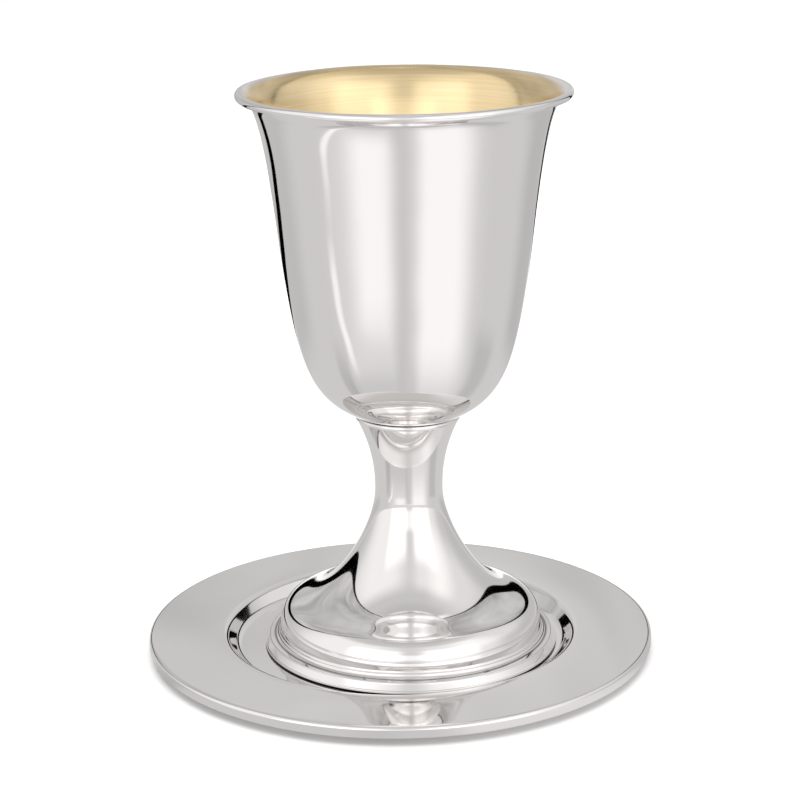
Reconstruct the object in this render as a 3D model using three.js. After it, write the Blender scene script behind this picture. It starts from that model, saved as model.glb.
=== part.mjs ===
// A plain silver kiddush cup standing in the well of its matching saucer.
// Millimetres, +Z up. The origin is on the table under the middle of the saucer.
// Every piece is spun sheet, so each one is a closed profile turned about its own axis.
import * as THREE from 'three';

const TURNS = 48;               // facets around every turned piece
const SHEET = 0.8;              // thickness of the spun silver sheet
const SEAT_GAP = 0.3;           // clearance where one piece rests on or is soldered to another

// Saucer: a flat well, a soft step up, a nearly level flange and a turned-down edge.
const SAUCER_RADIUS = 60;
const FLANGE_HEIGHT = 4.6;      // top of the flange at its outer edge
const FLANGE_DISH = 0.45;       // how far the flange falls towards the well
const EDGE_BEND = 1;            // rounding where the flange turns down
const EDGE_DEPTH = 2.9;         // height of the turned-down edge
const EDGE_THICKNESS = 1.2;
const SHOULDER_RADIUS = 42.2;   // where the flange starts to fall into the well
const STEP_BEND = 1.6;          // the two bends of the step into the well
const STEP_SLOPE = 65;          // steepest slope of the step, in degrees

// Cup: all its heights are measured from its own base. Slopes are in degrees, and a reach is
// how far a curve keeps to its slope as it leaves or arrives at a place.
const CUP_OFFSET = 2.5;         // it stands this far to the +X side of the saucer's middle

// Foot and stem: a stepped base ring, a low dome and a waisted stem, hollow from below.
const BASE_BEAD = { radius: 34.4, height: 0.5, round: 0.5 };
const BAND_BOTTOM = { radius: 34.25, height: 1 };
const BAND_TOP = { radius: 33.85, height: 2.2, round: 0.4 };
const COVE = { radius: 32.4, height: 4.15, round: 1.4 };
const DOME = { radius: 31.1, height: 4.7, reach: 6.5 };
const FLARE = { radius: 24, height: 12.5, slope: 23.3, reachUp: 9.5, reachDown: 4 };
const WAIST = { radius: 8.05, height: 38.3, reachUp: 6.5, reachDown: 7.6 };
const STEM_TOP = { radius: 12, height: 56, slope: 69, reach: 5.5 };

// Bowl: a bell with a flared lip that ends in a rolled bead.
const BOWL_SEAT = { radius: 10.8, height: 55.9, slope: 22, reach: 12.8 };
const BOWL_SIDE = { radius: 28.8, height: 94, slope: 82.6, reachDown: 26.7, reachUp: 7 };
const LIP_ROOT = { radius: 34.5, height: 128.5, slope: 67, reachDown: 8, reachUp: 1.1 };
const RIM_BEAD = { radius: 37.4, height: 131.75, round: 1.15 };
const LIP_END = { slope: 42, reach: 1.1 };
const LIP_MEETS_BEAD = -132;    // where the outside of the lip runs into the bead, in degrees
const LIP_LEAVES_BEAD = 125;    // where the inside of the lip leaves the bead
const LIP_INSIDE_REACH = 1.8;

function point(radius, height) {
  return new THREE.Vector2(radius, height);
}

function place(spot) {
  return point(spot.radius, spot.height);
}

// A unit vector in the profile plane, where X is the radius and Y is the height.
function direction(degrees) {
  const angle = THREE.MathUtils.degToRad(degrees);
  return point(Math.cos(angle), Math.sin(angle));
}

// A smooth curve from start to end that leaves and arrives at the given slopes.
function sweep(start, startSlope, startReach, end, endSlope, endReach, steps) {
  const leave = start.clone().addScaledVector(direction(startSlope), startReach);
  const arrive = end.clone().addScaledVector(direction(endSlope), -endReach);
  return new THREE.CubicBezierCurve(start, leave, arrive, end).getPoints(steps);
}

// A round stretch of the profile about a centre, from one angle to another.
function arc(centre, round, fromDegrees, toDegrees, steps) {
  return Array.from({ length: steps + 1 }, (_, step) => {
    const angle = THREE.MathUtils.lerp(fromDegrees, toDegrees, step / steps);
    return centre.clone().addScaledVector(direction(angle), round);
  });
}

// The same curve moved to its left by a distance.
function offset(curve, distance) {
  return curve.map((spot, index) => {
    const before = curve[Math.max(index - 1, 0)];
    const after = curve[Math.min(index + 1, curve.length - 1)];
    const along = after.clone().sub(before).normalize();
    return point(spot.x - along.y * distance, spot.y + along.x * distance);
  });
}

// Stretches joined end to end. A point that repeats the one before it is left out.
function joined(...stretches) {
  const repeats = (spot, index, all) => index > 0 && spot.distanceTo(all[index - 1]) < 0.01;
  return stretches.flat().filter((spot, index, all) => !repeats(spot, index, all));
}

function polishedSilver(color, roughness) {
  return new THREE.MeshStandardMaterial({ color, roughness, metalness: 1 });
}

// Turns a profile about the Z axis. The profiles run out over the top of the metal and back
// underneath, and a lathe needs them the other way round for its faces to point outwards.
function turned(name, profile, material) {
  const geometry = new THREE.LatheGeometry(profile.toReversed(), TURNS);
  geometry.rotateX(Math.PI / 2);
  const mesh = new THREE.Mesh(geometry, material);
  mesh.name = name;
  return mesh;
}

// The step from the well floor up to the flange: a bend, a slope and a bend back to level.
function wellStep(floorHeight, topHeight, lowerBend, upperBend, steps) {
  const steepest = direction(STEP_SLOPE);
  const bends = lowerBend + upperBend;
  const slopeHeight = topHeight - floorHeight - bends * (1 - steepest.x);
  const run = bends * steepest.y + slopeHeight * steepest.x / steepest.y;
  const lowerCentre = point(SHOULDER_RADIUS - run, floorHeight + lowerBend);
  const upperCentre = point(SHOULDER_RADIUS, topHeight - upperBend);
  return joined(
    arc(lowerCentre, lowerBend, -90, STEP_SLOPE - 90, steps),
    arc(upperCentre, upperBend, STEP_SLOPE + 90, 90, steps)
  );
}

function saucer() {
  const flangeFoot = FLANGE_HEIGHT - FLANGE_DISH;
  const top = wellStep(SHEET, flangeFoot, STEP_BEND, STEP_BEND, 3);
  const under = wellStep(0, flangeFoot - SHEET, STEP_BEND + SHEET, STEP_BEND - SHEET, 2);
  const bendCentre = point(SAUCER_RADIUS - EDGE_BEND, FLANGE_HEIGHT - EDGE_BEND);
  const lipRound = EDGE_THICKNESS / 2;
  const lipCentre = point(SAUCER_RADIUS - lipRound, FLANGE_HEIGHT - EDGE_DEPTH + lipRound);
  const profile = joined(
    [point(0, SHEET)],
    top,
    arc(bendCentre, EDGE_BEND, 90, 0, 3),
    arc(lipCentre, lipRound, 0, -180, 3),
    [point(SAUCER_RADIUS - EDGE_THICKNESS, FLANGE_HEIGHT - SHEET)],
    under.reverse(),
    [point(0, 0)]
  );
  return turned('saucer', profile, polishedSilver(0xcfcfce, 0.12));
}

// The outside of the foot, from the top of the stem down to the widest part of the dome.
function stemAndDome(domeSteps) {
  return joined(
    sweep(place(STEM_TOP), STEM_TOP.slope - 180, STEM_TOP.reach, place(WAIST), -90, WAIST.reachUp, 4),
    sweep(place(WAIST), -90, WAIST.reachDown, place(FLARE), -FLARE.slope, FLARE.reachUp, 6),
    sweep(place(FLARE), -FLARE.slope, FLARE.reachDown, place(DOME), -90, DOME.reach, domeSteps)
  );
}

// The stepped ring under the dome: a cove, a ledge, an upright band and a small base bead.
function baseRing() {
  const ledgeCentre = point(BAND_TOP.radius - BAND_TOP.round, BAND_TOP.height);
  return joined(
    arc(place(COVE), COVE.round, 180, 270, 3),
    arc(ledgeCentre, BAND_TOP.round, 90, 0, 2),
    [place(BAND_BOTTOM)],
    arc(place(BASE_BEAD), BASE_BEAD.round, 50, -90, 3)
  );
}

function stemAndFoot() {
  const outside = stemAndDome(5);
  const inside = offset(stemAndDome(3), -SHEET).slice(1);
  // The stem's top edge is bevelled to lie along the bowl.
  const bevel = SHEET * direction(BOWL_SEAT.slope).y;
  const topInside = point(STEM_TOP.radius - SHEET, STEM_TOP.height - bevel);
  const underLedge = BAND_TOP.height + BAND_TOP.round - SHEET;
  const ringInside = [
    point(BAND_BOTTOM.radius - SHEET, 0),
    point(BAND_TOP.radius - SHEET, underLedge),
    point(DOME.radius - SHEET, underLedge)
  ];
  const profile = joined(outside, baseRing(), ringInside, inside.reverse(), [topInside, outside[0]]);
  return turned('stem_and_foot', profile, polishedSilver(0xcbcbca, 0.08));
}

function bowl() {
  const side = joined(
    sweep(
      place(BOWL_SEAT), BOWL_SEAT.slope, BOWL_SEAT.reach,
      place(BOWL_SIDE), BOWL_SIDE.slope, BOWL_SIDE.reachDown, 7
    ),
    sweep(
      place(BOWL_SIDE), BOWL_SIDE.slope, BOWL_SIDE.reachUp,
      place(LIP_ROOT), LIP_ROOT.slope, LIP_ROOT.reachDown, 4
    )
  );
  const sideInside = offset(side, SHEET);

  const onBead = (angle) => place(RIM_BEAD).addScaledVector(direction(angle), RIM_BEAD.round);
  const lip = sweep(
    place(LIP_ROOT), LIP_ROOT.slope, LIP_ROOT.reachUp,
    onBead(LIP_MEETS_BEAD), LIP_END.slope, LIP_END.reach, 2
  );
  const lipInside = sweep(
    sideInside.at(-1), LIP_ROOT.slope, LIP_INSIDE_REACH,
    onBead(LIP_LEAVES_BEAD), LIP_LEAVES_BEAD - 90, LIP_INSIDE_REACH, 2
  );
  const bead = arc(place(RIM_BEAD), RIM_BEAD.round, LIP_LEAVES_BEAD, LIP_MEETS_BEAD, 7);

  // The bottom is a round cap that runs on from the seat's slope to the axis.
  const capRadius = BOWL_SEAT.radius / direction(BOWL_SEAT.slope).y;
  const capCentre = point(0, BOWL_SEAT.height + capRadius * direction(BOWL_SEAT.slope).x);
  const cap = arc(capCentre, capRadius, -90, BOWL_SEAT.slope - 90, 2);
  const capInside = arc(capCentre, capRadius - SHEET, -90, BOWL_SEAT.slope - 90, 2);

  const profile = joined(
    capInside, sideInside.slice(1), lipInside, bead,
    lip.reverse(), side.reverse(), cap.reverse()
  );
  return turned('bowl', profile, polishedSilver(0xd2d2d1, 0.06));
}

const cup = new THREE.Group();
cup.position.set(CUP_OFFSET, 0, SHEET + SEAT_GAP);
cup.add(bowl(), stemAndFoot());

const kiddushCup = new THREE.Group();
kiddushCup.add(saucer(), cup);

export default kiddushCup;
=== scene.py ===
# %% [markdown]
# # A silver kiddush cup on its saucer
#
# The object is a plain, highly polished silver goblet for the blessing over wine. Its bell
# bowl is gilded inside and ends in a rolled rim. A waisted stem runs down into a low domed
# foot, and the whole cup stands in the well of a matching saucer. A silversmith spins all
# three pieces from sheet on a lathe. So each one is a profile turned about an upright
# axis, and that is how they are made here too.
#
# Polished silver has almost no look of its own: what the eye sees is the room, bent by the
# metal. So the work goes into three things. The profiles have to be smooth and true, the
# metal has to be as slightly uneven as real spun sheet is, and there has to be a room
# around the cup that is worth reflecting.

from math import cos, pi, radians, sin

import bpy
from mathutils import Matrix, Vector


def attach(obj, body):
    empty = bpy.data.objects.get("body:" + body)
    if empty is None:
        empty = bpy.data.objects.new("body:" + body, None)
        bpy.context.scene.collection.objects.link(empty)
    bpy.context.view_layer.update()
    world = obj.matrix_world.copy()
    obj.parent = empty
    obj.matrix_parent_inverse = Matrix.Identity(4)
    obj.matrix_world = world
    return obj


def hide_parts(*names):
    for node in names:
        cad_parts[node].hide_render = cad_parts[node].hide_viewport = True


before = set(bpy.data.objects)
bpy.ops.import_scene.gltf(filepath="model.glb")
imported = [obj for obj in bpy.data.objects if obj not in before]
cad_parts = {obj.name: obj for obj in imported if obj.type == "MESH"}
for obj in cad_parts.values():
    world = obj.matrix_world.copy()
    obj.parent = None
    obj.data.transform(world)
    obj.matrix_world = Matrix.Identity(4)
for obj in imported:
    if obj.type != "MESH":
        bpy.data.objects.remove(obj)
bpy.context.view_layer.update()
MM = 0.001
print("solids:", sorted(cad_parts))

# %% [markdown]
# ## The camera
#
# The cup is seen from a little above the rim, about half a metre away, through a long
# lens. The camera is placed first, because the lights are judged through it. Its turns are
# given one at a time: yaw turns it left or right, pitch tips it down, and roll leans it.

# %% Place the camera
SENSOR = 36.0
CAMERA_LENS = 105.17
CAMERA_PLACE = Vector((2.35, -524.3, 212.7)) * MM
CAMERA_YAW = -0.183
CAMERA_PITCH = 16.17
CAMERA_ROLL = -0.763


def place_camera():
    """Adds the camera, looking along +Y before its yaw, pitch and roll are applied."""
    data = bpy.data.cameras.new("camera")
    data.sensor_width = SENSOR
    data.lens = CAMERA_LENS
    data.clip_start = 0.01
    camera = bpy.data.objects.new("camera", data)
    yaw = Matrix.Rotation(radians(-CAMERA_YAW), 4, "Z")
    pitch = Matrix.Rotation(radians(90 - CAMERA_PITCH), 4, "X")
    roll = Matrix.Rotation(radians(CAMERA_ROLL), 4, "Z")
    camera.matrix_world = Matrix.Translation(CAMERA_PLACE) @ yaw @ pitch @ roll
    bpy.context.scene.collection.objects.link(camera)
    bpy.context.scene.camera = camera
    return camera


camera = place_camera()
print("camera at", [round(value / MM) for value in camera.matrix_world.translation], "mm")

# %% [markdown]
# ## A helper for nodes
#
# Materials, lights and Geometry Nodes are all trees of nodes. One small function adds a
# node, sets its options, and fills each input with a value or with a link from another
# node. An input is named by its label, or by its number where two share a label.

# %% Define the node helper
def add(tree, kind, inputs=None, **options):
    """Adds a node to a tree. A socket given as an input becomes a link, and anything else a value."""
    node = tree.nodes.new(kind)
    for name, value in options.items():
        setattr(node, name, value)
    for name, value in (inputs or {}).items():
        if isinstance(value, bpy.types.NodeSocket):
            tree.links.new(value, node.inputs[name])
        else:
            node.inputs[name].default_value = value
    return node


def math(tree, operation, first, second=0.0):
    """The result of a sum, product or other step of arithmetic on two sockets or values."""
    return add(tree, "ShaderNodeMath", {0: first, 1: second}, operation=operation).outputs[0]


def linear(hex_colour):
    """Turns an sRGB colour such as "F4F2EE" into the linear values that shaders work in."""
    values = [int(hex_colour[place:place + 2], 16) / 255 for place in (0, 2, 4)]
    return [v / 12.92 if v <= 0.04045 else ((v + 0.055) / 1.055) ** 2.4 for v in values] + [1.0]


# %% [markdown]
# ## Drawing a profile
#
# A profile is the outline of half a section through a piece: the first number of a point
# is its radius and the second its height. Real spun sheet never has a corner, and in a
# mirror finish the eye finds every kink at once. So the profiles are made of arcs and of
# cubic curves that leave and arrive at a given slope, each cut into many short spans.
# All sizes are in millimetres and repeat those of the solids.

# %% Curves for the profiles
def direction(slope):
    """A step of length one in the profile at a slope in degrees: 0 is outwards, 90 is up."""
    return Vector((cos(radians(slope)), sin(radians(slope))))


def sweep(start, start_slope, start_reach, end, end_slope, end_reach, steps):
    """A smooth curve that leaves and arrives at the given slopes."""
    start, end = Vector(start), Vector(end)
    leave = start + start_reach * direction(start_slope)
    arrive = end - end_reach * direction(end_slope)
    curve = []
    for step in range(steps + 1):
        t = step / steps
        early = (1 - t) ** 3 * start + 3 * (1 - t) ** 2 * t * leave
        curve.append(early + 3 * (1 - t) * t ** 2 * arrive + t ** 3 * end)
    return curve


def arc(centre, round_radius, start_angle, end_angle, steps):
    """A round stretch about a centre, from one angle in degrees to another."""
    turn = (end_angle - start_angle) / steps
    return [Vector(centre) + round_radius * direction(start_angle + turn * step) for step in range(steps + 1)]


def straight(start, end, steps, crowd=3.0):
    """A straight stretch. Its points crowd towards both ends, so a bend's shading stays in the bend."""
    start, end = Vector(start), Vector(end)
    places = [2 * step / steps - 1 for step in range(steps + 1)]
    eased = [(1 if place > 0 else -1) * (1 - (1 - abs(place)) ** crowd) for place in places]
    return [start.lerp(end, (place + 1) / 2) for place in eased]


def offset(curve, distance):
    """The same curve moved to its left by a distance."""
    moved = []
    for index, spot in enumerate(curve):
        along = (curve[min(index + 1, len(curve) - 1)] - curve[max(index - 1, 0)]).normalized()
        moved.append(spot + distance * Vector((-along.y, along.x)))
    return moved


def joined(*stretches):
    """Stretches put end to end, without the points that repeat the one before."""
    points = []
    for spot in (spot for stretch in stretches for spot in stretch):
        if not points or (spot - points[-1]).length > 0.002:
            points.append(spot)
    return points


# %% [markdown]
# ## Turning a profile with Geometry Nodes
#
# Blender's Screw modifier could spin a profile, but a Geometry Nodes tree can do more in
# one go: it wraps a flat grid round the profile, carries the gilding and the painted groove
# shade along with it, and presses the faint unevenness of hand-finished sheet into the
# surface. Each row of the grid takes one point of the profile, and each column one direction
# around the axis. The waves of the hand finish are hundredths of a millimetre high, and only
# press inwards, so that a piece stays within the size of its solid.

# %% Build the lathe tree
TURNS = 360
SEAM_WIDTH = 0.001


def build_lathe():
    """The Geometry Nodes tree that turns a profile mesh about an upright axis."""
    tree = bpy.data.node_groups.new("lathe", "GeometryNodeTree")
    face = tree.interface
    face.new_socket("Geometry", in_out="INPUT", socket_type="NodeSocketGeometry")
    face.new_socket("Geometry", in_out="OUTPUT", socket_type="NodeSocketGeometry")
    for name, kind in (
        ("Turns", "NodeSocketInt"), ("Axis", "NodeSocketFloat"), ("Wave Height", "NodeSocketFloat"),
        ("Wave Length", "NodeSocketFloat"), ("Seed", "NodeSocketFloat"), ("Material", "NodeSocketMaterial"),
    ):
        face.new_socket(name, in_out="INPUT", socket_type=kind)
    given = add(tree, "NodeGroupInput").outputs
    profile = given["Geometry"]

    # The grid is one unit wide and high, so a place on it says which turn and which row it is.
    rows = add(tree, "GeometryNodeAttributeDomainSize", {0: profile}, component="MESH").outputs["Point Count"]
    columns = math(tree, "ADD", given["Turns"], 1)
    grid = add(tree, "GeometryNodeMeshGrid", {"Vertices X": columns, "Vertices Y": rows})
    spot = add(tree, "ShaderNodeSeparateXYZ", {0: add(tree, "GeometryNodeInputPosition").outputs[0]})
    angle = math(tree, "MULTIPLY", math(tree, "ADD", spot.outputs["X"], 0.5), 2 * pi)
    last_row = math(tree, "SUBTRACT", rows, 1)
    row = math(tree, "ROUND", math(tree, "MULTIPLY", math(tree, "ADD", spot.outputs["Y"], 0.5), last_row))

    # Each row takes its radius, its height, its gilding and its painted shade from one point of the profile.
    here = add(tree, "GeometryNodeInputPosition").outputs[0]
    sampled = add(
        tree, "GeometryNodeSampleIndex", {"Geometry": profile, "Value": here, "Index": row},
        data_type="FLOAT_VECTOR",
    )
    gilt_and_painted_shade = add(tree, "GeometryNodeInputNamedAttribute", {"Name": "gilt_and_painted_shade"}, data_type="FLOAT")
    carried = add(
        tree, "GeometryNodeSampleIndex", {"Geometry": profile, "Value": gilt_and_painted_shade.outputs[0], "Index": row},
        data_type="FLOAT",
    )
    radius_height = add(tree, "ShaderNodeSeparateXYZ", {0: sampled.outputs[0]})
    radius, height = radius_height.outputs["X"], radius_height.outputs["Z"]
    turned_x = math(tree, "MULTIPLY", radius, math(tree, "COSINE", angle))
    turned = add(tree, "ShaderNodeCombineXYZ", {
        "X": math(tree, "ADD", turned_x, given["Axis"]),
        "Y": math(tree, "MULTIPLY", radius, math(tree, "SINE", angle)),
        "Z": height,
    })
    stored = add(
        tree, "GeometryNodeStoreNamedAttribute",
        {"Geometry": grid.outputs[0], "Name": "gilt_and_painted_shade", "Value": carried.outputs[0]}, data_type="FLOAT",
    )
    wrapped = add(tree, "GeometryNodeSetPosition", {
        "Geometry": stored.outputs[0], "Position": turned.outputs[0],
    })
    closed = add(tree, "GeometryNodeMergeByDistance", {
        "Geometry": wrapped.outputs[0], "Distance": SEAM_WIDTH * MM,
    })

    # Slow waves stand for the marks of the spinner's tool. The wrapped grid still faces inwards here.
    place = add(tree, "GeometryNodeInputPosition").outputs[0]
    waves = add(tree, "ShaderNodeTexNoise", {
        "Vector": place, "W": given["Seed"], "Detail": 1.0,
        "Scale": math(tree, "DIVIDE", 1, given["Wave Length"]),
    }, noise_dimensions="4D")
    lift = math(tree, "MULTIPLY", waves.outputs[0], given["Wave Height"])
    push = add(tree, "ShaderNodeVectorMath", {
        0: add(tree, "GeometryNodeInputNormal").outputs[0], "Scale": lift,
    }, operation="SCALE")
    uneven = add(tree, "GeometryNodeSetPosition", {"Geometry": closed.outputs[0], "Offset": push.outputs[0]})
    smooth = add(tree, "GeometryNodeSetShadeSmooth", {"Geometry": uneven.outputs[0]})
    outward = add(tree, "GeometryNodeFlipFaces", {"Mesh": smooth.outputs[0]})
    real = add(tree, "GeometryNodeRealizeInstances", {0: outward.outputs[0]})
    finished = add(tree, "GeometryNodeSetMaterial", {
        "Geometry": real.outputs[0], "Material": given["Material"],
    })
    add(tree, "NodeGroupOutput", {0: finished.outputs[0]})
    return tree


lathe = build_lathe()
print("lathe tree:", len(lathe.nodes), "nodes")


# %% Turn a profile into a finished piece
def turn_piece(name, profile, gilt_and_painted_shade, material, **settings):
    """Turns a profile in millimetres into a plain mesh. Gilding and painted shade run 0 to 1 at each point of
    it.
    """
    outline = bpy.data.meshes.new(name + "_profile")
    outline.from_pydata(
        [(spot.x * MM, 0, spot.y * MM) for spot in profile],
        [(index, index + 1) for index in range(len(profile) - 1)], [],
    )
    # The amount of gilding and of painted groove shade at each point.
    amounts = outline.attributes.new("gilt_and_painted_shade", "FLOAT", "POINT")
    amounts.data.foreach_set("value", gilt_and_painted_shade)
    maker = bpy.data.objects.new(name + "_profile", outline)
    bpy.context.scene.collection.objects.link(maker)
    modifier = maker.modifiers.new("lathe", "NODES")
    modifier.node_group = lathe
    sockets = {item.name: item.identifier for item in lathe.interface.items_tree if item.in_out == "INPUT"}
    for label, value in {"Turns": TURNS, "Material": material, **settings}.items():
        modifier[sockets[label]] = value

    shaped = maker.evaluated_get(bpy.context.evaluated_depsgraph_get())
    mesh = bpy.data.meshes.new_from_object(shaped)
    mesh.name = name
    bpy.data.objects.remove(maker)
    piece = bpy.data.objects.new(name, mesh)
    bpy.context.scene.collection.objects.link(piece)
    mesh.calc_loop_triangles()
    print(f"{name}: {len(profile)} points in the profile, {len(mesh.loop_triangles):,} triangles")
    return piece


# %% [markdown]
# ## The polisher's streaks
#
# A spun cup is finished on the lathe, so its hairlines run round it. They could come from
# an image, but an image wrapped round a cup has a seam. A noise that is read along a small
# circle has none: the direction from the axis gives the place on the circle, and the height
# on the cup gives the place along it. The hairlines of a real cup are a few hundredths of a
# millimetre wide, too fine to show here, so they are drawn about half a millimetre apart.

# %% Draw streaks around the cup
CUP_OFFSET = 2.5
HAIRLINE_TURNS = 6.0
HAIRLINES_PER_MM = 2.2


def from_the_axis(tree, behind=0.0):
    """The level part of the way from the cup's axis, or from a line that many mm behind it."""
    spot = add(tree, "ShaderNodeTexCoord").outputs["Object"]
    middle = (CUP_OFFSET * MM, behind * MM, 0)
    centred = add(tree, "ShaderNodeVectorMath", {0: spot, 1: middle}, operation="SUBTRACT")
    level = {0: centred.outputs[0], 1: (1, 1, 0)}
    return add(tree, "ShaderNodeVectorMath", level, operation="MULTIPLY").outputs[0]


def hairlines(tree):
    """Streaks that run round the piece, 0 to 1."""
    spot = add(tree, "ShaderNodeTexCoord").outputs["Object"]
    circle = add(tree, "ShaderNodeVectorMath", {0: from_the_axis(tree)}, operation="NORMALIZE").outputs[0]
    small = {0: circle, "Scale": HAIRLINE_TURNS / (2 * pi)}
    around = add(tree, "ShaderNodeVectorMath", small, operation="SCALE").outputs[0]
    height = add(tree, "ShaderNodeSeparateXYZ", {0: spot}).outputs["Z"]
    along = add(tree, "ShaderNodeCombineXYZ", {"Z": math(tree, "MULTIPLY", height, HAIRLINES_PER_MM / MM)})
    read_at = add(tree, "ShaderNodeVectorMath", {0: around, 1: along.outputs[0]}, operation="ADD").outputs[0]
    return add(tree, "ShaderNodeTexNoise", {"Vector": read_at, "Scale": 1.0, "Detail": 3.0}).outputs[0]


def between(tree, amount, low, high):
    """Moves a 0-to-1 amount into the range from low to high."""
    return add(tree, "ShaderNodeMapRange", {"Value": amount, "To Min": low, "To Max": high}).outputs[0]


print(f"streaks: {HAIRLINES_PER_MM} to the millimetre")

# %% [markdown]
# ## The silver
#
# All three pieces are sterling silver, buffed with rouge until it mirrors the room. The
# buffing is never perfect: it leaves a faint veil that softens a reflection a little here
# and there. A metal is made by Metallic at 1, where the base colour is the colour of its
# reflections, and by a low roughness. One roughness for the whole cup would look too
# perfect, so a slow noise varies it over patches of a few centimetres.
#
# The same function makes a second surface beside the silver. The attribute that the lathe
# carried along says where it lies. In the grooves of the foot it is painted shade, which
# draws the dark lines of the shaded hollows and of the foot's seat. Inside the bowl it is gold.

# %% Make polished silver
SILVER_REFLECTION = "F8F6F5"
SILVER_HAZE = (0.03, 0.075)
HAZE_PATCH = 25
STREAK_DEPTH = (0.7, 1.4)
# The colour and roughness of the shade painted into the foot's grooves.
PAINTED_GROOVE_SHADE = {"colour": "3A3632", "roughness": 0.2}


def metal(name, second_roughness, second_colour, mask=None):
    """Polished silver; the gilding and painted shade attribute, and any mask, blend in a second surface."""
    material = bpy.data.materials.new(name)
    material.use_nodes = True
    tree = material.node_tree
    shader = tree.nodes["Principled BSDF"]
    gilt_and_painted_shade = add(tree, "ShaderNodeAttribute", attribute_name="gilt_and_painted_shade").outputs["Fac"]
    if mask:
        gilt_and_painted_shade = math(tree, "MULTIPLY", gilt_and_painted_shade, mask(tree))
    spot = add(tree, "ShaderNodeTexCoord").outputs["Object"]
    patches = add(tree, "ShaderNodeTexNoise", {"Vector": spot, "Scale": 1 / (HAZE_PATCH * MM), "Detail": 2.0})
    streaks = hairlines(tree)
    first = between(tree, patches.outputs[0], *SILVER_HAZE)
    second = between(tree, streaks, *(second_roughness * depth for depth in STREAK_DEPTH))
    colours = {0: gilt_and_painted_shade, 6: linear(SILVER_REFLECTION), 7: second_colour(tree, streaks)}
    colour = add(tree, "ShaderNodeMix", colours, data_type="RGBA")
    roughness = add(tree, "ShaderNodeMix", {0: gilt_and_painted_shade, 2: first, 3: second}, data_type="FLOAT")
    tree.links.new(colour.outputs[2], shader.inputs["Base Color"])
    tree.links.new(roughness.outputs[0], shader.inputs["Roughness"])
    shader.inputs["Metallic"].default_value = 1.0
    return material


def painted_groove_shade_colour(tree, streaks):
    """The grey-brown of the shade painted into the grooves, the same everywhere."""
    return linear(PAINTED_GROOVE_SHADE["colour"])


# Gives the eye a bright, nearly colourless mirror whose reflections are crisp but not hard.
# Its second surface is the shade painted into the foot's grooves.
silver = metal("polished_sterling_silver", PAINTED_GROOVE_SHADE["roughness"], painted_groove_shade_colour)
print("silver:", silver.name, "with roughness", SILVER_HAZE)

# %% [markdown]
# ## The gilding
#
# A thin coat of gold inside the bowl keeps the wine off the silver. Gold that thin is pale,
# and it is brushed rather than buffed, so it glows instead of mirroring and shows fine
# circular streaks. The coat stops near the rim where the gilder laid a mask by hand. Its
# edge could follow the profile, but a hand-laid mask never sits quite true: its circle lies
# a little behind the cup's axis, and the gold fades over about a millimetre.

# %% Make the gilding
GILT_RADIUS = 35.7
GILT_SHIFT = 1.4
GILT_FADE = 1.4
GILT = {"colour": "F0D29A", "streak": "FDEBC4", "roughness": 0.17}


def gilt_colour(tree, streaks):
    """Pale gold, a little paler still along the polisher's streaks."""
    colours = {0: streaks, 6: linear(GILT["colour"]), 7: linear(GILT["streak"])}
    return add(tree, "ShaderNodeMix", colours, data_type="RGBA").outputs[2]


def gilder_mask(tree):
    """1 inside the gilder's circle and 0 outside it, with a soft edge."""
    way = from_the_axis(tree, behind=GILT_SHIFT)
    radius = add(tree, "ShaderNodeVectorMath", {0: way}, operation="LENGTH").outputs["Value"]
    half = GILT_FADE / 2
    edge = {"Value": radius, "From Min": (GILT_RADIUS + half) * MM, "From Max": (GILT_RADIUS - half) * MM}
    return add(tree, "ShaderNodeMapRange", edge, interpolation_type="SMOOTHSTEP").outputs[0]


# Gives the eye a soft, warm glow with long highlights that run round the bowl.
gilt_silver = metal("silver_gilt_inside", GILT["roughness"], gilt_colour, gilder_mask)
print("gilding:", gilt_silver.name, "out to a radius of", GILT_RADIUS, "mm")

# %% [markdown]
# ## The saucer
#
# The saucer is one disc of silver pressed down over a former on the lathe: a flat well for
# the foot to stand in, a soft step, a nearly level flange, and an edge turned down to
# stiffen it. It could be made from a cylinder with a Bevel modifier. A profile is better,
# because each bend then has a radius of its own, and the bends are what catches the light.
# The flange dips a little towards the step, so that it mirrors the foot as tall stripes.

# %% Turn the saucer
SHEET = 0.8
SEAT_GAP = 0.3
SAUCER_RADIUS = 60
FLANGE_HEIGHT = 4.6
FLANGE_DISH = 0.1
FLANGE_SLOPE = 3
EDGE_BEND = 1
EDGE_DEPTH = 2.9
EDGE_THICKNESS = 1.2
SHOULDER_RADIUS = 42.6
STEP_BEND = 2.2
STEP_SLOPE = 50


def well_step(floor_height, top_height, lower_bend, upper_bend):
    """The step from the well floor up to the flange: a bend, a slope and a bend back to level."""
    steepest = direction(STEP_SLOPE)
    bends = lower_bend + upper_bend
    slope_height = top_height - floor_height - bends * (1 - steepest.x)
    run = bends * steepest.y + slope_height * steepest.x / steepest.y
    lower = arc((SHOULDER_RADIUS - run, floor_height + lower_bend), lower_bend, -90, STEP_SLOPE - 90, 16)
    upper = arc((SHOULDER_RADIUS, top_height - upper_bend), upper_bend, STEP_SLOPE + 90, 90, 16)
    return joined(lower, straight(lower[-1], upper[0], 4), upper)


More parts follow.
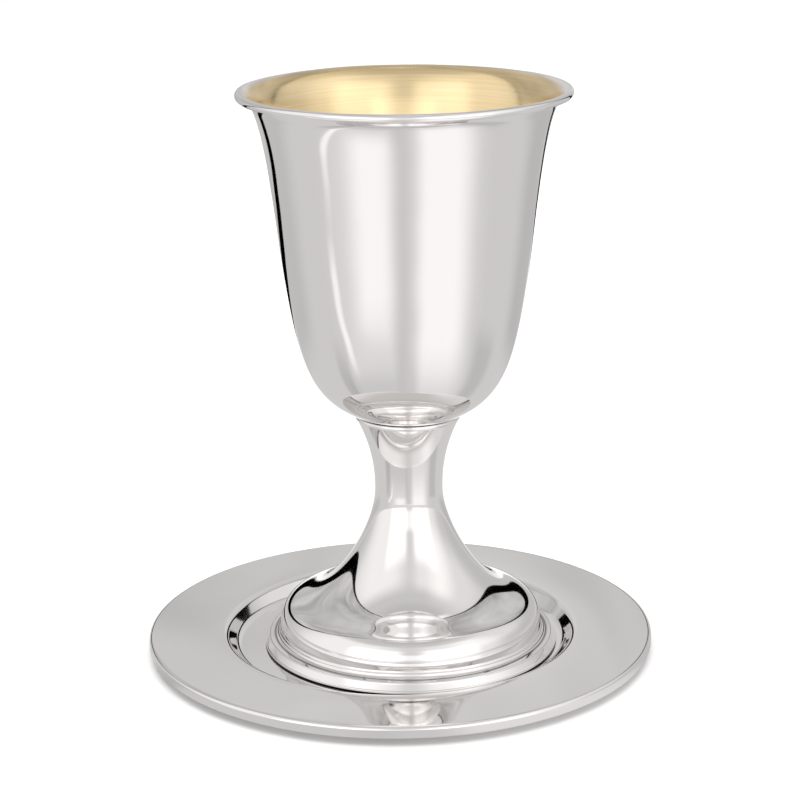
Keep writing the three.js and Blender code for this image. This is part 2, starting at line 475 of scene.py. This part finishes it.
def saucer_profile():
    """The saucer's outline, over the top from the axis and back underneath."""
    flange_foot = FLANGE_HEIGHT - FLANGE_DISH
    floor = SHEET + SEAT_GAP
    top = well_step(floor, flange_foot, STEP_BEND, STEP_BEND)
    under = well_step(0, flange_foot - SHEET, STEP_BEND + SHEET, STEP_BEND - SHEET)
    bend = arc((SAUCER_RADIUS - EDGE_BEND, FLANGE_HEIGHT - EDGE_BEND), EDGE_BEND, 90, 0, 24)
    lip_round = EDGE_THICKNESS / 2
    lip_centre = (SAUCER_RADIUS - lip_round, FLANGE_HEIGHT - EDGE_DEPTH + lip_round)
    lip = arc(lip_centre, lip_round, 0, -180, 24)
    inner_corner = Vector((SAUCER_RADIUS - EDGE_THICKNESS, FLANGE_HEIGHT - SHEET))
    return joined(
        straight((0, floor), top[0], 16), top,
        sweep(top[-1], FLANGE_SLOPE, 3, bend[0], 0, 8, 20), bend,
        lip, straight(lip[-1], inner_corner, 4),
        straight(inner_corner, under[-1], 8), under[::-1],
        straight(under[0], (0, 0), 8),
    )


profile = saucer_profile()
saucer = turn_piece("saucer_shell", profile, [0.0] * len(profile), silver, **{
    "Axis": 0.0, "Wave Height": 0.06 * MM, "Wave Length": 30 * MM, "Seed": 3.0,
})

# %% [markdown]
# ## The stem and the foot
#
# The stem and the foot are one hollow shell. From a narrow waist it flares down into a low
# dome, and ends in a cove, a ledge, an upright band and a thin bead to stand on. A cylinder
# could be scaled ring by ring, but a mirror shows every wobble of such a line. Here three
# curves follow each other, and each starts at the slope at which the one before it ends.
#
# Heights are measured from the cup's own base, which rests a hair above the saucer's well.

# %% Turn the stem and the foot
BASE_BEAD = {"radius": 34.4, "height": 0.5, "round": 0.5}
BAND_BOTTOM = {"radius": 34.25, "height": 1}
BAND_TOP = {"radius": 33.85, "height": 2.2, "round": 0.4}
COVE = {"radius": 32.3, "height": 3.7, "round": 1.0}
DOME = {"radius": 31.2, "height": 3.7, "reach": 7.2}
FLARE = {"radius": 24, "height": 12.5, "slope": 23.3, "reach_up": 9.5, "reach_down": 4}
WAIST = {"radius": 8.05, "height": 38.3, "reach_up": 6.0, "reach_down": 7.6}
STEM_TOP = {"radius": 12.6, "height": 56.3, "slope": 62, "reach": 7.5}


def point(spot):
    """The place in the profile that a named spot gives."""
    return Vector((spot["radius"], spot["height"]))


def foot_profile():
    """The foot's outline, down the outside from the top of the stem and back up inside."""
    outside = joined(
        sweep(point(STEM_TOP), STEM_TOP["slope"] - 180, STEM_TOP["reach"],
              point(WAIST), -90, WAIST["reach_up"], 24),
        sweep(point(WAIST), -90, WAIST["reach_down"],
              point(FLARE), -FLARE["slope"], FLARE["reach_up"], 36),
        sweep(point(FLARE), -FLARE["slope"], FLARE["reach_down"],
              point(DOME), -90, DOME["reach"], 30),
    )
    cove = arc(point(COVE), COVE["round"], 180, 270, 16)
    ledge = arc((BAND_TOP["radius"] - BAND_TOP["round"], BAND_TOP["height"]), BAND_TOP["round"], 90, 5, 12)
    bead = arc(point(BASE_BEAD), BASE_BEAD["round"], 60, -90, 20)
    under_ledge = BAND_TOP["height"] + BAND_TOP["round"] - SHEET
    ring_inside = [
        Vector((BAND_BOTTOM["radius"] - SHEET, 0)),
        Vector((BAND_TOP["radius"] - SHEET, under_ledge)),
        Vector((DOME["radius"] - SHEET, under_ledge)),
    ]
    inside = offset(outside, -SHEET)[::2][::-1]
    return joined(
        outside, cove, straight(cove[-1], ledge[0], 4), ledge,
        straight(ledge[-1], bead[0], 4), bead,
        straight(bead[-1], ring_inside[0], 3), straight(ring_inside[0], ring_inside[1], 4),
        straight(ring_inside[1], ring_inside[2], 4), inside, [outside[0]],
    )


def near(value, centre, half_width, fade):
    """One inside the half width about a centre, easing to nothing over the fade."""
    past = min(max((abs(value - centre) - half_width) / fade, 0.0), 1.0)
    return 1 - past * past * (3 - 2 * past)


# Where shade is painted into the foot's grooves, how dark it is, and how far in mm it reaches.
GROOVES = (
    {"radius": 32.45, "height": 2.75, "darkness": 0.85, "width": 0.28},
    {"radius": 34.3, "height": 1.0, "darkness": 0.7, "width": 0.22},
    {"radius": 34.7, "height": 0.1, "darkness": 1.0, "width": 0.35},
)


def groove_painted_shade(spot):
    """How much painted shade darkens a point of the foot's profile."""
    return max(
        groove["darkness"] * near((spot - point(groove)).length, 0, groove["width"] * 0.4, groove["width"])
        for groove in GROOVES
    )


base = SHEET + SEAT_GAP
outline = foot_profile()
profile = [spot + Vector((0, base)) for spot in outline]
# The foot carries painted shade where its hollows and its seat fall dark.
foot = turn_piece("stem_and_foot_shell", profile, [groove_painted_shade(spot) for spot in outline], silver, **{
    "Axis": CUP_OFFSET * MM, "Wave Height": 0.06 * MM, "Wave Length": 14 * MM, "Seed": 5.0,
})

# %% [markdown]
# ## The bowl
#
# The bowl is a bell: a round bottom, a long side that is nearly straight, and a lip that
# flares out and is rolled over into a bead, so that it is pleasant to drink from and doesn't
# bend. The side is drawn as two curves that share their slope where they meet, because a
# kink there would break the long bright bands. The wall is one sheet thick: its inside is
# the same line, moved in by that much.

# %% Turn the bowl
BOWL_SEAT = {"radius": 10.8, "height": 55.9, "slope": 22, "reach": 12.8}
BOWL_SIDE = {"radius": 28.8, "height": 94, "slope": 82.6, "reach_down": 26.7, "reach_up": 7}
LIP_ROOT = {"radius": 34.5, "height": 128.5, "slope": 67, "reach_down": 8, "reach_up": 1.1}
RIM_BEAD = {"radius": 37.25, "height": 131.7, "round": 1.1}
LIP_END = {"slope": 42, "reach": 1.1}
LIP_MEETS_BEAD = -132
LIP_LEAVES_BEAD = 125
LIP_INSIDE_REACH = 1.8


def bowl_profile():
    """The bowl's outline, up the inside from the axis, round the bead and down the outside."""
    side = joined(
        sweep(point(BOWL_SEAT), BOWL_SEAT["slope"], BOWL_SEAT["reach"],
              point(BOWL_SIDE), BOWL_SIDE["slope"], BOWL_SIDE["reach_down"], 44),
        sweep(point(BOWL_SIDE), BOWL_SIDE["slope"], BOWL_SIDE["reach_up"],
              point(LIP_ROOT), LIP_ROOT["slope"], LIP_ROOT["reach_down"], 26),
    )
    side_inside = offset(side, SHEET)
    meets = point(RIM_BEAD) + RIM_BEAD["round"] * direction(LIP_MEETS_BEAD)
    leaves = point(RIM_BEAD) + RIM_BEAD["round"] * direction(LIP_LEAVES_BEAD)
    lip = sweep(point(LIP_ROOT), LIP_ROOT["slope"], LIP_ROOT["reach_up"],
                meets, LIP_END["slope"], LIP_END["reach"], 12)
    lip_inside = sweep(side_inside[-1], LIP_ROOT["slope"], LIP_INSIDE_REACH,
                       leaves, LIP_LEAVES_BEAD - 90, LIP_INSIDE_REACH, 12)
    bead = arc(point(RIM_BEAD), RIM_BEAD["round"], LIP_LEAVES_BEAD, LIP_MEETS_BEAD, 48)
    cap_radius = BOWL_SEAT["radius"] / direction(BOWL_SEAT["slope"]).y
    cap_centre = (0, BOWL_SEAT["height"] + cap_radius * direction(BOWL_SEAT["slope"]).x)
    cap = arc(cap_centre, cap_radius, -90, BOWL_SEAT["slope"] - 90, 12)
    cap_inside = arc(cap_centre, cap_radius - SHEET, -90, BOWL_SEAT["slope"] - 90, 12)
    return joined(cap_inside, side_inside, lip_inside, bead, lip[::-1], side[::-1], cap[::-1])


def gilt_amount(spots):
    """Gilding at each point of the bowl's profile: 1 inside, up to the top of the bead, and 0 outside."""
    top = max(range(len(spots)), key=lambda index: spots[index].y)
    return [1.0 if index < top else 0.0 for index in range(len(spots))]


outline = bowl_profile()
profile = [spot + Vector((0, base)) for spot in outline]
bowl = turn_piece("bowl_shell", profile, gilt_amount(outline), gilt_silver, **{
    "Axis": CUP_OFFSET * MM, "Wave Height": 0.30 * MM, "Wave Length": 17 * MM, "Seed": 7.0,
})

# %% [markdown]
# ## What each piece stands for
#
# Each turned piece takes the place of the solid with the same form, and carries its finish.
# Nothing on a cup moves, so all of them ride on the root.

# %% Say what each piece stands for
for piece, node, slot in (
    (saucer, "saucer", "polished_silver"),
    (foot, "stem_and_foot", "polished_silver"),
    (bowl, "bowl", "silver_gilt_inside"),
):
    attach(piece, "root")
    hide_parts(node)
    print(piece.name, "replaces", node)

# %% [markdown]
# ## The studio
#
# A mirror needs something to mirror. Silver like this is photographed in a ring of white:
# two tall softboxes stand to the left and right of the camera, a round cloth reflector
# with a black hem leans over the cup from behind, and the paper underneath is white. The
# softboxes become the two broad bright bands on the bowl, and the hem becomes the thin
# black loops on the foot, which are what makes the surface read as polished metal.
#
# The far room is the World: its colour depends on the direction that a ray leaves in. Its
# softboxes are smooth bumps of light, given as compass angles around the cup, where 0 is
# towards the camera and plus is to the right.

# %% Shape the light
def smooth_bump(tree, value, centre, half_width, soft_edge):
    """One inside the half width about a centre, easing to nothing over the soft edge."""
    away = math(tree, "ABSOLUTE", math(tree, "SUBTRACT", value, centre))
    fade = add(tree, "ShaderNodeMapRange", {
        "Value": away, "From Min": half_width, "From Max": half_width + soft_edge,
        "To Min": 1.0, "To Max": 0.0,
    }, interpolation_type="SMOOTHSTEP")
    return fade.outputs[0]


def compass(tree, direction_socket):
    """The compass angle and the height angle, in degrees, of a direction seen from the cup."""
    axes = add(tree, "ShaderNodeSeparateXYZ", {0: direction_socket})
    towards_camera = math(tree, "MULTIPLY", axes.outputs["Y"], -1)
    azimuth = math(tree, "DEGREES", math(tree, "ARCTAN2", axes.outputs["X"], towards_camera))
    level = add(tree, "ShaderNodeVectorMath", {0: direction_socket, 1: (1, 1, 0)}, operation="MULTIPLY")
    reach = add(tree, "ShaderNodeVectorMath", {0: level.outputs[0]}, operation="LENGTH").outputs["Value"]
    elevation = math(tree, "DEGREES", math(tree, "ARCTAN2", axes.outputs["Z"], reach))
    return azimuth, elevation


def lit_by(tree, across, up, lights, start):
    """Adds lights to a glow. Each is a soft bump of a compass angle and of a height or distance."""
    total = start
    for light in lights:
        bump = smooth_bump(tree, across, *light["across"])
        if "up" in light:
            bump = math(tree, "MULTIPLY", bump, smooth_bump(tree, up, *light["up"]))
        total = math(tree, "ADD", math(tree, "MULTIPLY", bump, light["glow"]), total)
    return total


# %% Light the room
ROOM_GLOW = 0.60
BACKDROP_WHITE = 1.1
WARM_WHITE = "FFFEFD"
# The centre, half width and soft edge of each light in degrees, across the compass and up the sky.
SKY_LIGHTS = (
    {"glow": 0.36, "across": (-32, 17, 13), "up": (0, 30, 14)},
    {"glow": 0.34, "across": (-62, 18, 62), "up": (22, 26, 16)},
    {"glow": 0.40, "across": (36, 16, 16), "up": (0, 30, 14)},
    {"glow": 0.26, "across": (46, 20, 34), "up": (22, 28, 14)},
    {"glow": 0.17, "across": (86, 22, 36), "up": (40, 12, 22)},
    {"glow": 0.32, "across": (0, 22, 9), "up": (11, 5, 7)},
    {"glow": -0.07, "across": (0, 90, 60), "up": (90, 12, 12)},
)
# The same behind the cup, alike on the left and on the right.
SKY_BEHIND = (
    {"glow": 0.5, "across": (180, 55, 20), "up": (90, 18, 8)},
    {"glow": -0.06, "across": (140, 20, 20), "up": (8, 12, 14)},
)


def build_room():
    """The World: softboxes, a lit wall on the left and a pale ceiling, and plain white to the camera."""
    room = bpy.data.worlds.new("photographers_room")
    bpy.context.scene.world = room
    room.use_nodes = True
    tree = room.node_tree
    tree.nodes.clear()
    azimuth, elevation = compass(tree, add(tree, "ShaderNodeTexCoord").outputs["Generated"])
    glow = lit_by(tree, azimuth, elevation, SKY_LIGHTS, ROOM_GLOW)
    glow = lit_by(tree, math(tree, "ABSOLUTE", azimuth), elevation, SKY_BEHIND, glow)
    seen = add(tree, "ShaderNodeLightPath").outputs["Is Camera Ray"]
    white = math(tree, "MULTIPLY", seen, BACKDROP_WHITE)
    light = add(tree, "ShaderNodeBackground", {
        "Color": linear(WARM_WHITE), "Strength": math(tree, "MAXIMUM", glow, white),
    })
    add(tree, "ShaderNodeOutputWorld", {"Surface": light.outputs[0]})


build_room()
print("the room has", len(SKY_LIGHTS) + len(SKY_BEHIND), "lights and shades")

# %% [markdown]
# ## The paper
#
# The cup stands on a sheet of white paper. In the scene two sheets share the work. The upper
# one is plain matt paper, which the camera sees and which catches the soft shadow under the
# saucer's edge; the metal doesn't see it. A hair lower lies the sheet that only the metal
# sees. It glows as paper does between softboxes, with bright patches in front and half shade
# at the sides. One sheet could do both, but then each change for the metal would move the
# shadow too.

# %% Make the studio's flat pieces
def flat_piece(name, corners, material, where=Matrix.Identity(4)):
    """A flat stage piece with the given outline in millimetres, set down by a matrix."""
    mesh = bpy.data.meshes.new(name)
    mesh.from_pydata([where @ Vector((x * MM, y * MM, 0)) for x, y in corners], [], [range(len(corners))])
    mesh.materials.append(material)
    piece = bpy.data.objects.new(name, mesh)
    bpy.context.scene.collection.objects.link(piece)
    return piece


def only_in_the_metal(piece):
    """Lets a piece show in reflections and nowhere else."""
    piece.visible_camera = False
    piece.visible_diffuse = False
    piece.visible_shadow = False


def square(half):
    """The corners of a square, from half its width."""
    return [(-half, -half), (half, -half), (half, half), (-half, half)]


def ring(radius, steps=96):
    """Points around a circle."""
    angles = [2 * pi * step / steps for step in range(steps)]
    return [(radius * cos(angle), radius * sin(angle)) for angle in angles]


# %% Lay the paper that the camera sees
PAPER_HALF_WIDTH = 4000


def white_paper():
    """Matt paper, which gives the eye a clean white and no shine."""
    material = bpy.data.materials.new("matt_white_paper")
    material.use_nodes = True
    shader = material.node_tree.nodes["Principled BSDF"]
    shader.inputs["Base Color"].default_value = linear("F4F4F4")
    shader.inputs["Roughness"].default_value = 0.9
    shader.inputs["Specular IOR Level"].default_value = 0.0
    return material


paper = flat_piece("paper", square(PAPER_HALF_WIDTH), white_paper())
paper.visible_glossy = False
print("paper:", 2 * PAPER_HALF_WIDTH, "mm wide")

# %% Lay the paper that the metal sees
LIT_PAPER_HALF_WIDTH = 1500
LIT_PAPER_DROP = 0.2
PAPER_GLOW = 0.635
COOL_WHITE = "FFFEFE"
# Each patch lies across a compass angle in degrees and out at a distance from the cup in mm.
PAPER_LIGHTS = (
    {"glow": 0.10, "across": (0, 50, 30)},
    {"glow": -0.13, "across": (0, 5, 13), "up": (0, 330, 40)},
    {"glow": 0.27, "across": (-28, 5, 24), "up": (300, 100, 90)},
    {"glow": 0.28, "across": (31, 10, 26), "up": (300, 150, 110)},
    {"glow": -0.11, "across": (84, 5, 16), "up": (0, 130, 60)},
    {"glow": -0.12, "across": (-40, 20, 20), "up": (0, 70, 50)},
    {"glow": -0.12, "across": (-72, 4, 7), "up": (60, 40, 70)},
    {"glow": -0.10, "across": (-132, 10, 25), "up": (330, 110, 90)},
    {"glow": -0.13, "across": (142, 12, 25), "up": (330, 110, 90)},
)
PAPER_BEHIND = ({"glow": 0.5, "across": (180, 14, 12), "up": (330, 200, 60)},)
# A thin bright streak runs out along the left edge of the lit patch, which turns as it goes.
LEFT_EDGE = {"near": 60.0, "far": 240.0, "near_angle": -57, "far_angle": -70}
EDGE_STREAK = {"glow": 0.3, "across": (2.5, 0.8, 4), "out": (190, 40, 70)}


def lit_paper():
    """The paper as the metal sees it: lit by the softboxes in front, in half shade behind."""
    material = bpy.data.materials.new("paper_lit_by_the_softboxes")
    material.use_nodes = True
    tree = material.node_tree
    tree.nodes.clear()
    way = from_the_axis(tree)
    azimuth, _ = compass(tree, way)
    metres = add(tree, "ShaderNodeVectorMath", {0: way}, operation="LENGTH").outputs["Value"]
    distance = math(tree, "DIVIDE", metres, MM)
    glow = lit_by(tree, azimuth, distance, PAPER_LIGHTS, PAPER_GLOW)
    glow = lit_by(tree, math(tree, "ABSOLUTE", azimuth), distance, PAPER_BEHIND, glow)
    edge = add(tree, "ShaderNodeMapRange", {
        "Value": distance, "From Min": LEFT_EDGE["near"], "From Max": LEFT_EDGE["far"],
        "To Min": LEFT_EDGE["near_angle"], "To Max": LEFT_EDGE["far_angle"],
    }, interpolation_type="SMOOTHSTEP").outputs[0]
    streak = smooth_bump(tree, math(tree, "SUBTRACT", azimuth, edge), *EDGE_STREAK["across"])
    streak = math(tree, "MULTIPLY", streak, smooth_bump(tree, distance, *EDGE_STREAK["out"]))
    glow = math(tree, "ADD", glow, math(tree, "MULTIPLY", streak, EDGE_STREAK["glow"]))
    light = add(tree, "ShaderNodeEmission", {"Color": linear(COOL_WHITE), "Strength": glow})
    add(tree, "ShaderNodeOutputMaterial", {"Surface": light.outputs[0]})
    return material


just_below = Matrix.Translation((0, 0, -LIT_PAPER_DROP * MM))
lit = flat_piece("lit_paper", square(LIT_PAPER_HALF_WIDTH), lit_paper(), just_below)
only_in_the_metal(lit)
print("lit paper:", len(PAPER_LIGHTS) + len(PAPER_BEHIND), "patches and a streak")

# %% [markdown]
# ## The round reflector
#
# A folding reflector, a disc of white cloth in a black hem, leans over the cup from behind.
# The saucer's flange and the foot's dome mirror its cloth as an even grey, and its hem draws
# the thin black loops on the dome. The cloth could be one flat grey, but a real one is
# creased, and slow creases keep the grey from looking painted on.

# %% Hang the reflector behind the cup
REFLECTOR = {"place": (-40, 139, 359), "radius": 322, "hem": 30, "tilt": 11.3, "yaw": 7.9}
HEM_DROP = 1
HEM_GLOW = 0.02
CREASE_WIDTH = 150
CREASE_RANGE = (0.32, 0.68)
CLOTH_GLOW = (0.36, 0.66)


def glowing(name, hex_colour, strength):
    """A surface with a light of its own, whatever falls on it."""
    material = bpy.data.materials.new(name)
    material.use_nodes = True
    tree = material.node_tree
    tree.nodes.clear()
    light = add(tree, "ShaderNodeEmission", {"Color": linear(hex_colour), "Strength": strength})
    add(tree, "ShaderNodeOutputMaterial", {"Surface": light.outputs[0]})
    return material


def creased_cloth():
    """White cloth, lit a little unevenly, as its soft creases make it."""
    material = glowing("white_cloth", WARM_WHITE, CLOTH_GLOW[1])
    tree = material.node_tree
    spot = add(tree, "ShaderNodeTexCoord").outputs["Object"]
    slow = {"Vector": spot, "Scale": 1 / (CREASE_WIDTH * MM), "Detail": 3.0, "Distortion": 0.8}
    creases = add(tree, "ShaderNodeTexNoise", slow).outputs[0]
    glow = add(tree, "ShaderNodeMapRange", {
        "Value": creases, "From Min": CREASE_RANGE[0], "From Max": CREASE_RANGE[1],
        "To Min": CLOTH_GLOW[0], "To Max": CLOTH_GLOW[1],
    }).outputs[0]
    tree.links.new(glow, tree.nodes["Emission"].inputs["Strength"])
    return material


def place_reflector():
    """A round cloth on a black hem, leaning towards the cup from behind."""
    stand = Matrix.Translation(Vector(REFLECTOR["place"]) * MM)
    turn = Matrix.Rotation(radians(REFLECTOR["yaw"]), 4, "Z")
    lean = Matrix.Rotation(radians(90 + REFLECTOR["tilt"]), 4, "X")
    front = stand @ turn @ lean
    back = front @ Matrix.Translation((0, 0, -HEM_DROP * MM))
    tape = glowing("black_tape", "101010", HEM_GLOW)
    cloth = flat_piece("reflector_cloth", ring(REFLECTOR["radius"]), creased_cloth(), front)
    hem = flat_piece("reflector_hem", ring(REFLECTOR["radius"] + REFLECTOR["hem"]), tape, back)
    for piece in (cloth, hem):
        only_in_the_metal(piece)


place_reflector()
print("reflector:", 2 * REFLECTOR["radius"], "mm across, with a hem of", REFLECTOR["hem"], "mm")

# %% [markdown]
# ## The lamp
#
# One large softbox straight above lights the paper, so that the saucer's shadow is a soft
# band close under its edge. The metal doesn't see the lamp. The Standard view transform
# keeps white paper white, where a filmic one would turn it grey.

# %% Hang the lamp over the paper
LAMP_WIDTH = 2.0
LAMP_HEIGHT = 1.6
LAMP_WATTS = 26

lamp_data = bpy.data.lights.new("overhead_softbox", "AREA")
lamp_data.shape = "SQUARE"
lamp_data.size = LAMP_WIDTH
lamp_data.energy = LAMP_WATTS
lamp = bpy.data.objects.new("overhead_softbox", lamp_data)
lamp.location = (0, 0, LAMP_HEIGHT)
lamp.visible_glossy = False
bpy.context.scene.collection.objects.link(lamp)
bpy.context.scene.view_settings.view_transform = "Standard"
print("lamp:", LAMP_WATTS, "watts")

# %% [markdown]
# ## The last step
#
# The turned pieces have to fit the box of the solids. This last cell only brings the scene up to date.

# %% Bring the scene up to date
bpy.context.view_layer.update()
